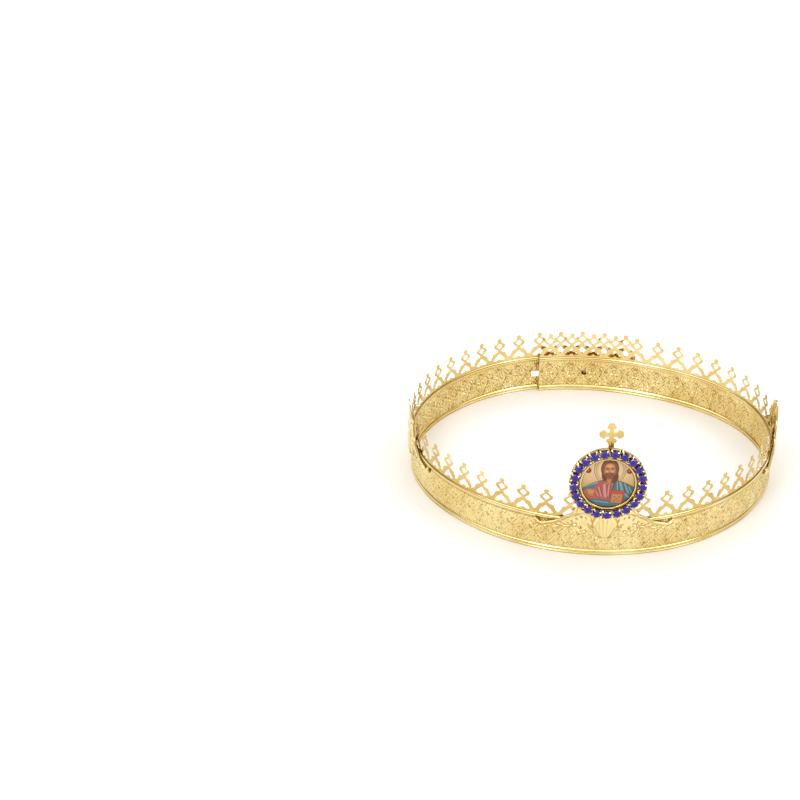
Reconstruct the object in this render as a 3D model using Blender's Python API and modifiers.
"""Orthodox wedding crown of pressed gilt metal: a lapped band, a pierced gallery of finials,
three pressed plaques, and a medallion ringed with blue stones under a small cross.

Metres, +Z up. The crown stands on its bottom rim at z = 0 with its medallion facing -Y.
"""

import math

import bmesh
import bpy
from mathutils import Matrix, Vector

MM = 0.001

# Ring. Angles are in degrees from the front, positive towards +X, seen from above.
RING_RADIUS = 90.0 * MM
# The ring was bent by hand, so its plan waves in and out: turns, cosine part, sine part.
PLAN_WAVES = (
    (2, -0.60 * MM, 0.45 * MM),
    (3, 0.78 * MM, -0.25 * MM),
    (4, 0.28 * MM, 0.44 * MM),
    (5, -0.10 * MM, -0.11 * MM),
)
FLARE = 0.018
# The ring's centre, seen from the middle of the whole crown's outline.
RING_CENTRE = (-0.22 * MM, 3.39 * MM, 0.0)

# Repeat of the pressed strip: one lozenge and one finial to each cell. The edge between the two
# middle cells lies a little to the right of the front.
CELL_LENGTH = 11.546 * MM
CELLS_RIGHT = 26
CELLS_LEFT = 27
STRIP_SHIFT = 1.47 * MM
WALK_STEPS = 300
# Where the two ends lap at the back, the strip steps in and out by half this spacing.
LAP_SPACING = 2.1 * MM
LAP_EASE_START = 128.0
LAP_EASE_END = 160.0

# Band
SHEET = 0.6 * MM
RIM_THICKNESS = 1.8 * MM
RIM_ROUNDING = 0.4 * MM
FIELD_BOTTOM = 2.5 * MM
FIELD_TOP = 16.75 * MM
FIELD_MIDDLE = 9.5 * MM
LOZENGE_HALF_HEIGHT = 3.5 * MM
BAND_HEIGHT = 19.25 * MM
GROOVE_WIDTH = 1.1 * MM
GROOVE_DEPTH = 1.0 * MM
LOZENGE_RELIEF = 0.4 * MM
CROSSING_RELIEF = 0.25 * MM
SLOT_WIDTH = 5.0 * MM
SLOT_HEIGHT = 3.5 * MM
SLOT_MIDDLE = 9.0 * MM
SLOT_TURNS = (-165.7, -173.1, -180.5, -187.9)
TAB_HOLE_TURN = 179.0
TAB_HOLE_SIZE = (2.4 * MM, 2.5 * MM)
TAB_TURN = 180.0
TAB_THICKNESS = 0.5 * MM
TAB_BOTTOM = 8.0 * MM
TAB_TOP = 10.2 * MM
TAB_REACH = 3.6 * MM
TAB_FOOT = 2.0 * MM

# Gallery
GALLERY_SHEET = 0.5 * MM
SEAT_GAP = 0.3 * MM
NOTCH_HEIGHT = 21.5 * MM
FINIAL_TOP = 32.8 * MM
# Outline of a finial's right-hand side, from the notch up: half width, height.
FINIAL_SIDE = (
    (4.3 * MM, 22.8 * MM),
    (3.7 * MM, 24.5 * MM),
    (0.95 * MM, 26.0 * MM),
    (3.2 * MM, 27.9 * MM),
    (3.2 * MM, 29.3 * MM),
    (1.0 * MM, 30.7 * MM),
    (1.05 * MM, 32.1 * MM),
)
ARCH_OPENING = (
    (-3.5 * MM, 20.1 * MM),
    (3.5 * MM, 20.1 * MM),
    (2.9 * MM, 22.3 * MM),
    (0.0, 24.2 * MM),
    (-2.9 * MM, 22.3 * MM),
)
RING_HOLE_MIDDLE = 28.6 * MM
RING_HOLE_HALF = 1.6 * MM

# Plaques: half width along the ring, lower edge, upper edge.
PLAQUE_SHEET = 0.7 * MM
PLAQUE_SEAT = 1.2 * MM
PLAQUE_LIFT = 0.4 * MM
PLAQUE_SECTIONS = (
    (0.0, 9.8 * MM, 38.0 * MM),
    (1.6 * MM, 10.5 * MM, 37.9 * MM),
    (3.2 * MM, 11.5 * MM, 37.6 * MM),
    (4.9 * MM, 14.3 * MM, 37.1 * MM),
    (6.7 * MM, 14.8 * MM, 36.3 * MM),
    (9.0 * MM, 12.8 * MM, 34.7 * MM),
    (10.9 * MM, 13.3 * MM, 32.8 * MM),
    (12.7 * MM, 16.3 * MM, 29.9 * MM),
    (14.4 * MM, 15.4 * MM, 24.8 * MM),
    (18.5 * MM, 14.6 * MM, 21.2 * MM),
    (23.0 * MM, 13.7 * MM, 18.3 * MM),
    (27.5 * MM, 12.8 * MM, 16.6 * MM),
    (31.0 * MM, 13.8 * MM, 17.0 * MM),
    (33.5 * MM, 15.2 * MM, 17.6 * MM),
)
PLAQUE_ROWS = 4
# Raised forms: place along the ring, height, half width, half height, relief.
PLAQUE_BOSSES = (
    (0.0, 14.5 * MM, 4.0 * MM, 6.0 * MM, 1.6 * MM),
    (10.0 * MM, 18.5 * MM, 6.0 * MM, 6.5 * MM, 0.9 * MM),
    (22.0 * MM, 16.0 * MM, 9.0 * MM, 4.0 * MM, 0.5 * MM),
)
PLAQUE_TURNS = {"plaque_front": 0.5, "plaque_right": 89.0, "plaque_left": -87.0}

# Medallion. Depths run forward from the back of its case.
MEDALLION_TURN = 0.5
MEDALLION_RADIUS = 93.0 * MM
MEDALLION_HEIGHT = 41.5 * MM
CASE_RADIUS = 18.3 * MM
CASE_PLATE = 0.8 * MM
BEZEL_INSIDE = 12.8 * MM
BEZEL_OUTSIDE = 13.5 * MM
BEZEL_FRONT = 3.2 * MM
CASE_STEPS = 32
PICTURE_RADIUS = 12.5 * MM
PICTURE_BACK = CASE_PLATE + SEAT_GAP
PICTURE_EDGE = 2.4 * MM
PICTURE_FRONT = 4.0 * MM
DOME_STEPS = 4

STONE_COUNT = 21
STONE_CIRCLE = 16.1 * MM
CUP_WIDTH = 4.1 * MM
CUP_WALL = 0.6 * MM
CUP_BASE = CASE_PLATE + SEAT_GAP
CUP_FLOOR = 1.7 * MM
CUP_FRONT = 3.0 * MM
LINK_INSIDE = 15.3 * MM
LINK_OUTSIDE = 16.9 * MM
LINK_BACK = 1.2 * MM
LINK_FRONT = 1.6 * MM
CLAW_LEG = 0.95 * MM
CLAW_INSET = 0.05 * MM
CLAW_FRONT = 4.1 * MM
CLAW_LEAN = 0.3 * MM
STONE_SIDES = 8
STONE_RADIUS = 1.9 * MM
STONE_TABLE = 1.15 * MM
STONE_CULET_DEPTH = 2.0 * MM
STONE_GIRDLE_DEPTH = 3.4 * MM
STONE_TABLE_DEPTH = 4.3 * MM

# Cross, a flat sheet behind the case, set a little to the right. Heights are from the medallion's
# centre.
CROSS_SHEET = 0.9 * MM
CROSS_MIDDLE = 24.4 * MM
CROSS_ASIDE = 0.7 * MM
CROSS_ARM = 5.8 * MM
CROSS_TONGUE_WIDTH = 2.6 * MM
CROSS_TONGUE_FOOT = 13.0 * MM
# Outline of half a budded arm, from the crossing out: distance along the arm, half width.
CROSS_BUD = (
    (1.05 * MM, 1.05 * MM),
    (2.9 * MM, 1.05 * MM),
    (3.3 * MM, 1.9 * MM),
    (4.1 * MM, 2.05 * MM),
    (5.0 * MM, 1.2 * MM),
)
CROSS_FOOT_HALF = 2.35 * MM
CROSS_FOOT_NECK = 2.8 * MM
CROSS_FOOT_TOP = 3.2 * MM
CROSS_FOOT_SHOULDER = 4.0 * MM
CROSS_FOOT_BOTTOM = 4.8 * MM

GOLD = (0.83, 0.58, 0.20)
PALE_GOLD = (0.88, 0.66, 0.28)
STONE_BLUE = (0.03, 0.02, 0.45)
PICTURE_OCHRE = (0.62, 0.45, 0.28)

WELD = 1e-6


def clear_scene():
    for item in list(bpy.data.objects):
        bpy.data.objects.remove(item, do_unlink=True)


def new_collection(name):
    collection = bpy.data.collections.new(name)
    bpy.context.scene.collection.children.link(collection)
    return collection


def finish(name, color, roughness, metallic):
    material = bpy.data.materials.new(name)
    material.use_nodes = True
    shader = material.node_tree.nodes["Principled BSDF"]
    shader.inputs["Base Color"].default_value = (*color, 1.0)
    shader.inputs["Roughness"].default_value = roughness
    shader.inputs["Metallic"].default_value = metallic
    return material


def add_piece(name, mesh, collection, parent, material):
    piece = bpy.data.objects.new(name, mesh)
    collection.objects.link(piece)
    piece.parent = parent
    mesh.materials.clear()
    mesh.materials.append(material)
    mesh.shade_smooth()
    mesh.set_sharp_from_angle(angle=math.radians(30))
    return piece


def add_cutter(name, mesh, cutters, parent):
    cutter = bpy.data.objects.new(name, mesh)
    cutters.objects.link(cutter)
    cutter.parent = parent
    cutter.hide_render = True
    cutter.display_type = "WIRE"
    return cutter


def add_boolean(piece, cutter, operation):
    boolean = piece.modifiers.new(cutter.name, "BOOLEAN")
    boolean.operation = operation
    boolean.object = cutter
    boolean.solver = "EXACT"


def add_empty(name, collection, parent, place, turn=(0.0, 0.0, 0.0)):
    empty = bpy.data.objects.new(name, None)
    collection.objects.link(empty)
    empty.parent = parent
    empty.location = place
    empty.rotation_euler = turn
    return empty


def to_mesh(form, name):
    mesh = bpy.data.meshes.new(name)
    form.to_mesh(mesh)
    form.free()
    return mesh


def evaluated_mesh(piece, name):
    """The piece as its modifiers or curve settings make it, as a welded mesh."""
    depsgraph = bpy.context.evaluated_depsgraph_get()
    mesh = bpy.data.meshes.new_from_object(piece.evaluated_get(depsgraph), depsgraph=depsgraph)
    mesh.name = name
    form = bmesh.new()
    form.from_mesh(mesh)
    bmesh.ops.remove_doubles(form, verts=form.verts, dist=WELD)
    form.to_mesh(mesh)
    form.free()
    return mesh


def flat_sheet(name, outlines, thickness):
    """A flat outline with its holes, in x and y, as a mesh of the given thickness about z = 0."""
    curve = bpy.data.curves.new(name, "CURVE")
    curve.dimensions = "2D"
    curve.fill_mode = "BOTH"
    curve.extrude = thickness / 2
    for outline in outlines:
        spline = curve.splines.new("POLY")
        spline.points.add(len(outline) - 1)
        for point, (x, y) in zip(spline.points, outline):
            point.co = (x, y, 0.0, 1.0)
        spline.use_cyclic_u = True
    drawing = bpy.data.objects.new(name, curve)
    bpy.context.scene.collection.objects.link(drawing)
    bpy.context.view_layer.update()
    mesh = evaluated_mesh(drawing, name)
    bpy.data.objects.remove(drawing, do_unlink=True)
    bpy.data.curves.remove(curve)
    return mesh


def turned(name, profile, steps):
    """A profile of radius and height pairs, top to bottom, turned round z."""
    edges = [(index, index + 1) for index in range(len(profile) - 1)]
    mesh = bpy.data.meshes.new(name)
    mesh.from_pydata([(radius, 0.0, height) for radius, height in profile], edges, [])
    drawing = bpy.data.objects.new(name, mesh)
    bpy.context.scene.collection.objects.link(drawing)
    screw = drawing.modifiers.new("turn", "SCREW")
    screw.steps = steps
    screw.render_steps = steps
    screw.use_merge_vertices = True
    screw.merge_threshold = WELD
    bpy.context.view_layer.update()
    result = evaluated_mesh(drawing, name)
    bpy.data.objects.remove(drawing, do_unlink=True)
    bpy.data.meshes.remove(mesh)
    return result


def ease(value):
    value = min(max(value, 0.0), 1.0)
    return value * value * (3.0 - 2.0 * value)


def middle_radius(turn):
    """Radius of the strip's middle surface at the bottom rim, with its step at the lap."""
    radius = RING_RADIUS - RIM_THICKNESS / 2
    for turns, cosine, sine in PLAN_WAVES:
        radius += cosine * math.cos(turns * turn) + sine * math.sin(turns * turn)
    eased = ease((abs(math.degrees(turn)) - LAP_EASE_START) / (LAP_EASE_END - LAP_EASE_START))
    return radius - math.copysign(LAP_SPACING / 2, turn) * eased


def along(degrees):
    """Length along the flat strip for an angle round the ring."""
    return math.radians(degrees) * RING_RADIUS


def rolled(point):
    """A point of the flat strip, x along it and -y outwards, rolled round the ring."""
    turn = point.x / RING_RADIUS
    radius = middle_radius(turn) - point.y + FLARE * point.z
    return Vector((radius * math.sin(turn), -radius * math.cos(turn), point.z))


def roll(mesh, upright=False):
    """Roll a flat mesh round the ring. An upright one was drawn with its height along y."""
    for vertex in mesh.vertices:
        point = vertex.co.copy()
        if upright:
            point = Vector((point.x, -point.z, point.y))
        vertex.co = rolled(point)


def placed_grid(columns, rows, place):
    """A grid of quads whose corner at a column and row goes to place(column, row)."""
    form = bmesh.new()
    bmesh.ops.create_grid(form, x_segments=columns, y_segments=rows, size=0.5)
    for vertex in form.verts:
        column = round((vertex.co.x + 0.5) * columns)
        row = round((vertex.co.y + 0.5) * rows)
        vertex.co = place(column, row)
    return form


def strip_turn(length):
    """Angle in degrees reached by a length of strip from the front, walked off in short steps."""
    turn = 0.0
    for _ in range(WALK_STEPS):
        turn += length / WALK_STEPS / middle_radius(turn)
    return math.degrees(turn)


def cell_turns():
    """Angles of the cells' edges and middles in turn, from the strip's left end to its right."""
    halves = range(-2 * CELLS_LEFT, 2 * CELLS_RIGHT + 1)
    return [strip_turn(STRIP_SHIFT + half * CELL_LENGTH / 2) for half in halves]


def band_profile():
    """Outline of the strip's section, outwards and up."""
    rim = RIM_THICKNESS / 2
    foot = rim - RIM_ROUNDING
    sheet = SHEET / 2
    groove = GROOVE_WIDTH / 2
    low = FIELD_MIDDLE - LOZENGE_HALF_HEIGHT
    high = FIELD_MIDDLE + LOZENGE_HALF_HEIGHT
    groove_floor = BAND_HEIGHT - GROOVE_DEPTH
    shoulder = FIELD_TOP + (rim - sheet)
    return (
        (foot, 0.0),
        (rim, FIELD_BOTTOM / 2),
        (sheet, FIELD_BOTTOM),
        (sheet, low),
        (sheet, FIELD_MIDDLE),
        (sheet, high),
        (sheet, FIELD_TOP),
        (rim, shoulder),
        (rim, BAND_HEIGHT),
        (groove, BAND_HEIGHT),
        (groove, groove_floor),
        (-groove, groove_floor),
        (-groove, BAND_HEIGHT),
        (-rim, BAND_HEIGHT),
        (-rim, shoulder),
        (-sheet, FIELD_TOP),
        (-sheet, FIELD_BOTTOM),
        (-rim, FIELD_BOTTOM / 2),
        (-foot, 0.0),
    )


def field_relief(outwards, height, in_middle):
    """How far the pressed pattern stands out: a lozenge in each cell, a cross at each cell's edge."""
    if outwards != SHEET / 2:
        return 0.0
    if in_middle:
        return LOZENGE_RELIEF if height == FIELD_MIDDLE else 0.0
    beside = abs(abs(height - FIELD_MIDDLE) - LOZENGE_HALF_HEIGHT) < WELD
    return CROSSING_RELIEF if beside else 0.0


def band_mesh():
    profile = band_profile()
    turns = cell_turns()

    def place(column, row):
        outwards, height = profile[row % len(profile)]
        relief = field_relief(outwards, height, column % 2 == 1)
        return Vector((along(turns[column]), -(outwards + relief), height))

    form = placed_grid(len(turns) - 1, len(profile), place)
    bmesh.ops.remove_doubles(form, verts=form.verts, dist=WELD)
    ends = [edge for edge in form.edges if edge.is_boundary]
    bmesh.ops.holes_fill(form, edges=ends, sides=0)
    bmesh.ops.triangulate(form, faces=form.faces, quad_method="SHORT_EDGE")
    bmesh.ops.recalc_face_normals(form, faces=form.faces)
    mesh = to_mesh(form, "embossed_band")
    roll(mesh)
    return mesh


def ring_box(form, degrees, size, radius, height):
    """A box at an angle and radius: size is along the ring, outwards and up."""
    turn = math.radians(degrees)
    spot = Matrix.Rotation(turn, 4, "Z") @ Matrix.Translation((0.0, -radius, height))
    scale = Matrix.Diagonal((*size, 1.0))
    bmesh.ops.create_cube(form, size=1.0, matrix=spot @ scale)


def band_cutter_mesh():
    """The adjusting slots through the outer end, and the punched hole in the inner end."""
    form = bmesh.new()
    depth = LAP_SPACING
    for degrees in SLOT_TURNS:
        radius = middle_radius(math.radians(degrees)) + FLARE * SLOT_MIDDLE + SHEET / 2
        ring_box(form, degrees, (SLOT_WIDTH, depth, SLOT_HEIGHT), radius, SLOT_MIDDLE)
    radius = middle_radius(math.radians(TAB_HOLE_TURN)) + FLARE * SLOT_MIDDLE - SHEET / 2
    width, height = TAB_HOLE_SIZE
    ring_box(form, TAB_HOLE_TURN, (width, depth, height), radius, FIELD_MIDDLE)
    return to_mesh(form, "slot_cutters")


def tab_mesh():
    """The tongue punched from the inner end: it reaches out through a slot and lies over its edge."""
    half = TAB_THICKNESS / 2
    outline = [
        (-half, 0.0),
        (-half, -TAB_REACH),
        (TAB_FOOT - half, -TAB_REACH),
        (TAB_FOOT - half, -TAB_REACH + TAB_THICKNESS),
        (half, -TAB_REACH + TAB_THICKNESS),
        (half, 0.0),
    ]
    middle = (TAB_TOP + TAB_BOTTOM) / 2
    root = middle_radius(math.radians(TAB_TURN)) + FLARE * middle - SHEET / 4
    mesh = flat_sheet("adjusting_tab", [outline], TAB_TOP - TAB_BOTTOM)
    mesh.transform(Matrix.Translation((0.0, -root, middle)))
    mesh.transform(Matrix.Rotation(math.radians(TAB_TURN), 4, "Z"))
    return mesh


def cell_outlines():
    """One finial on its stretch of rail, with its openings, drawn flat: x along the strip, y up."""
    half = CELL_LENGTH / 2
    foot = BAND_HEIGHT - GROOVE_DEPTH + SEAT_GAP
    right = [(half, foot), (half, NOTCH_HEIGHT)] + list(FINIAL_SIDE)
    left = [(-x, y) for x, y in reversed(right)]
    ring_hole = [
        (-RING_HOLE_HALF, RING_HOLE_MIDDLE),
        (0.0, RING_HOLE_MIDDLE - RING_HOLE_HALF),
        (RING_HOLE_HALF, RING_HOLE_MIDDLE),
        (0.0, RING_HOLE_MIDDLE + RING_HOLE_HALF),
    ]
    return [right + [(0.0, FINIAL_TOP)] + left, ARCH_OPENING, ring_hole]


def gallery_cell_mesh():
    """One cell of the cresting, open at both edges, where the next cells join it."""
    edge = CELL_LENGTH / 2 - WELD
    mesh = flat_sheet("gallery_cell", cell_outlines(), GALLERY_SHEET)
    form = bmesh.new()
    form.from_mesh(mesh)
    ends = [face for face in form.faces if abs(face.calc_center_median().x) > edge]
    bmesh.ops.delete(form, geom=ends, context="FACES_ONLY")
    form.to_mesh(mesh)
    form.free()
    return mesh


def gallery_mesh():
    """The cells side by side, each stretched at its edges to its own cell of the strip."""
    cell = gallery_cell_mesh()
    edge = CELL_LENGTH / 2 - WELD
    turns = cell_turns()
    form = bmesh.new()
    for index in range(1, len(turns), 2):
        left, middle, right = (along(turn) for turn in turns[index - 1:index + 2])
        copy = cell.copy()
        for vertex in copy.vertices:
            if vertex.co.x > edge:
                vertex.co.x = right
            elif vertex.co.x < -edge:
                vertex.co.x = left
            else:
                vertex.co.x += middle
        form.from_mesh(copy)
        bpy.data.meshes.remove(copy)
    bmesh.ops.remove_doubles(form, verts=form.verts, dist=WELD)
    ends = [edge for edge in form.edges if edge.is_boundary]
    bmesh.ops.holes_fill(form, edges=ends, sides=0)
    bmesh.ops.recalc_face_normals(form, faces=form.faces)
    mesh = to_mesh(form, "gallery")
    roll(mesh, upright=True)
    return mesh


def boss(place, height, form):
    """Height of one raised form of a plaque, a smooth cushion over its oval."""
    middle, level, half_width, half_height, relief = form
    across = (abs(place) - middle) / half_width
    upwards = (height - level) / half_height
    return relief * max(0.0, 1.0 - across * across - upwards * upwards)


def plaque_mesh(name, degrees):
    """The back face of a plaque, rolled round the ring: its sheet is thickened outwards."""
    half = len(PLAQUE_SECTIONS) - 1

    def place(column, row):
        side = column - half
        width, lower, upper = PLAQUE_SECTIONS[abs(side)]
        share = row / PLAQUE_ROWS
        height = lower + (upper - lower) * share
        relief = sum(boss(width, height, form) for form in PLAQUE_BOSSES)
        outwards = PLAQUE_SEAT + PLAQUE_LIFT * share + relief
        return Vector((along(degrees) + math.copysign(width, side), -outwards, height))

    form = placed_grid(2 * half, PLAQUE_ROWS, place)
    mesh = to_mesh(form, name)
    roll(mesh)
    return mesh


def case_mesh():
    profile = (
        (0.0, CASE_PLATE),
        (BEZEL_INSIDE, CASE_PLATE),
        (BEZEL_INSIDE, BEZEL_FRONT),
        (BEZEL_OUTSIDE, BEZEL_FRONT),
        (BEZEL_OUTSIDE, CASE_PLATE),
        (CASE_RADIUS, CASE_PLATE),
        (CASE_RADIUS, 0.0),
        (0.0, 0.0),
    )
    return turned("medallion_case", profile, CASE_STEPS)


def picture_mesh():
    rise = PICTURE_FRONT - PICTURE_EDGE
    profile = []
    for step in range(DOME_STEPS + 1):
        radius = PICTURE_RADIUS * step / DOME_STEPS
        profile.append((radius, PICTURE_EDGE + rise * (1.0 - (radius / PICTURE_RADIUS) ** 2)))
    profile.append((PICTURE_RADIUS, PICTURE_BACK))
    profile.append((0.0, PICTURE_BACK))
    return turned("picture_cabochon", profile, CASE_STEPS)


def stone_mesh():
    profile = (
        (0.0, STONE_TABLE_DEPTH),
        (STONE_TABLE, STONE_TABLE_DEPTH),
        (STONE_RADIUS, STONE_GIRDLE_DEPTH),
        (0.0, STONE_CULET_DEPTH),
    )
    mesh = turned("stone", profile, STONE_SIDES)
    mesh.transform(Matrix.Rotation(math.pi / STONE_SIDES, 4, "Z"))
    return mesh


def cup_mesh():
    """One square cup, a block with a pocket pressed into its front."""
    form = bmesh.new()
    depth = CUP_FRONT - CUP_BASE
    spot = Matrix.Translation((0.0, 0.0, CUP_FRONT - depth / 2))
    scale = Matrix.Diagonal((CUP_WIDTH, CUP_WIDTH, depth, 1.0))
    bmesh.ops.create_cube(form, size=1.0, matrix=spot @ scale)
    form.normal_update()
    pocket = [face for face in form.faces if face.normal.z > 0.5]
    bmesh.ops.inset_region(form, faces=pocket, thickness=CUP_WALL)
    moved = bmesh.ops.extrude_face_region(form, geom=pocket)["geom"]
    corners = [item for item in moved if isinstance(item, bmesh.types.BMVert)]
    bmesh.ops.translate(form, verts=corners, vec=(0.0, 0.0, CUP_FLOOR - CUP_FRONT))
    bmesh.ops.delete(form, geom=pocket, context="FACES_ONLY")
    return to_mesh(form, "cup")


def claws_mesh():
    """Four claws at a cup's corners, leaning in over the stone."""
    corner = CUP_WIDTH / 2 - CLAW_INSET
    inner = corner - CLAW_LEG
    claw = [(corner, corner), (inner, corner), (corner, inner)]
    height = CLAW_FRONT - CUP_FLOOR
    outlines = []
    for quarter in range(4):
        spin = Matrix.Rotation(quarter * math.pi / 2, 2)
        outlines.append([tuple(spin @ Vector(point)) for point in claw])
    mesh = flat_sheet("claws", outlines, height)
    mesh.transform(Matrix.Translation((0.0, 0.0, CLAW_FRONT - height / 2)))
    for vertex in mesh.vertices:
        if vertex.co.z > CLAW_FRONT - WELD:
            vertex.co.x -= math.copysign(CLAW_LEAN, vertex.co.x)
            vertex.co.y -= math.copysign(CLAW_LEAN, vertex.co.y)
    return mesh


def stone_spot(index):
    """Where a stone sits on the medallion, turned so that its cup faces the centre."""
    turn = -math.tau * index / STONE_COUNT
    return Matrix.Rotation(turn, 4, "Z") @ Matrix.Translation((0.0, STONE_CIRCLE, 0.0))


def repeated(name, mesh):
    """A cup's mesh at each stone's place, all in one mesh."""
    form = bmesh.new()
    for index in range(STONE_COUNT):
        copy = mesh.copy()
        copy.transform(stone_spot(index))
        form.from_mesh(copy)
        bpy.data.meshes.remove(copy)
    return to_mesh(form, name)


def cup_ring_mesh():
    """The thin bar that joins the cups, straight from each cup to the next."""
    profile = (
        (LINK_INSIDE, LINK_FRONT),
        (LINK_OUTSIDE, LINK_FRONT),
        (LINK_OUTSIDE, LINK_BACK),
        (LINK_INSIDE, LINK_BACK),
        (LINK_INSIDE, LINK_FRONT),
    )
    mesh = turned("cup_ring", profile, STONE_COUNT)
    mesh.transform(Matrix.Rotation(math.pi / 2, 4, "Z"))
    return mesh


def cross_outline():
    """A budded cross on its foot and tongue, round from the top bud's tip, towards +X."""
    def arm(turn):
        spin = Matrix.Rotation(turn, 2)
        side = [Vector((width, reach)) for reach, width in CROSS_BUD]
        other = [Vector((-width, reach)) for reach, width in CROSS_BUD]
        points = other + [Vector((0.0, CROSS_ARM))] + side[::-1]
        return [tuple(spin @ point) for point in points[1:]]

    top = arm(0.0)
    right = arm(-math.pi / 2)
    left = arm(math.pi / 2)
    bar = CROSS_BUD[0][0]
    tongue = CROSS_TONGUE_WIDTH / 2
    foot_end = CROSS_TONGUE_FOOT - CROSS_MIDDLE
    foot = [
        (bar, -bar),
        (bar, -CROSS_FOOT_NECK),
        (CROSS_FOOT_HALF, -CROSS_FOOT_TOP),
        (CROSS_FOOT_HALF, -CROSS_FOOT_SHOULDER),
        (tongue, -CROSS_FOOT_BOTTOM),
        (tongue, foot_end),
    ]
    mirrored = [(-x, y) for x, y in reversed(foot)]
    outline = top + right[:-1] + foot + mirrored[:-1] + left
    return [(x + CROSS_ASIDE, y + CROSS_MIDDLE) for x, y in outline]


def cross_mesh():
    mesh = flat_sheet("cross", [cross_outline()], CROSS_SHEET)
    mesh.transform(Matrix.Translation((0.0, 0.0, -SEAT_GAP - CROSS_SHEET / 2)))
    return mesh


def add_plaques(collection, parent):
    for name, degrees in PLAQUE_TURNS.items():
        material = finish(name + "_gilt", PALE_GOLD, 0.22, 1.0)
        plaque = add_piece(name, plaque_mesh(name, degrees), collection, parent, material)
        solidify = plaque.modifiers.new("sheet", "SOLIDIFY")
        solidify.thickness = PLAQUE_SHEET
        solidify.offset = 1.0


def add_band(collection, cutters, parent):
    band = add_piece("embossed_band", band_mesh(), collection, parent,
                     finish("band_gilt", GOLD, 0.30, 1.0))
    slots = add_cutter("slot_cutters", band_cutter_mesh(), cutters, parent)
    add_boolean(band, slots, "DIFFERENCE")
    tab = add_cutter("adjusting_tab", tab_mesh(), cutters, parent)
    add_boolean(band, tab, "UNION")


def add_medallion(collection, cutters, parent):
    turn = math.radians(MEDALLION_TURN)
    place = (
        MEDALLION_RADIUS * math.sin(turn),
        -MEDALLION_RADIUS * math.cos(turn),
        MEDALLION_HEIGHT,
    )
    centre = add_empty("medallion_centre", collection, parent, place, (math.pi / 2, 0.0, turn))
    add_piece("medallion_case", case_mesh(), collection, centre,
              finish("case_gilt", PALE_GOLD, 0.25, 1.0))
    add_piece("picture_cabochon", picture_mesh(), collection, centre,
              finish("picture_enamel", PICTURE_OCHRE, 0.15, 0.0))
    add_piece("cross", cross_mesh(), collection, centre,
              finish("cross_gilt", PALE_GOLD, 0.25, 1.0))
    half_pitch = (0.0, 0.0, -math.pi / STONE_COUNT)
    circle = add_empty("stone_circle", collection, centre, (0.0, 0.0, 0.0), half_pitch)
    ring = add_piece("cup_ring", cup_ring_mesh(), collection, circle,
                     finish("cup_gilt", PALE_GOLD, 0.20, 1.0))
    cups = add_cutter("cup_walls", repeated("cup_walls", cup_mesh()), cutters, circle)
    claws = add_cutter("claws", repeated("claws", claws_mesh()), cutters, circle)
    add_boolean(ring, cups, "UNION")
    add_boolean(ring, claws, "UNION")
    stone = stone_mesh()
    blue = finish("stone_blue", STONE_BLUE, 0.05, 0.0)
    for index in range(STONE_COUNT):
        piece = add_piece("stone_%02d" % (index + 1), stone, collection, circle, blue)
        piece.matrix_local = stone_spot(index)


def main():
    clear_scene()
    collection = new_collection("wedding_crown")
    cutters = new_collection("cutters")
    centre = add_empty("ring_centre", collection, None, RING_CENTRE)
    add_band(collection, cutters, centre)
    add_piece("gallery", gallery_mesh(), collection, centre,
              finish("gallery_gilt", PALE_GOLD, 0.25, 1.0))
    add_plaques(collection, centre)
    add_medallion(collection, cutters, centre)
    bpy.context.view_layer.update()


main()
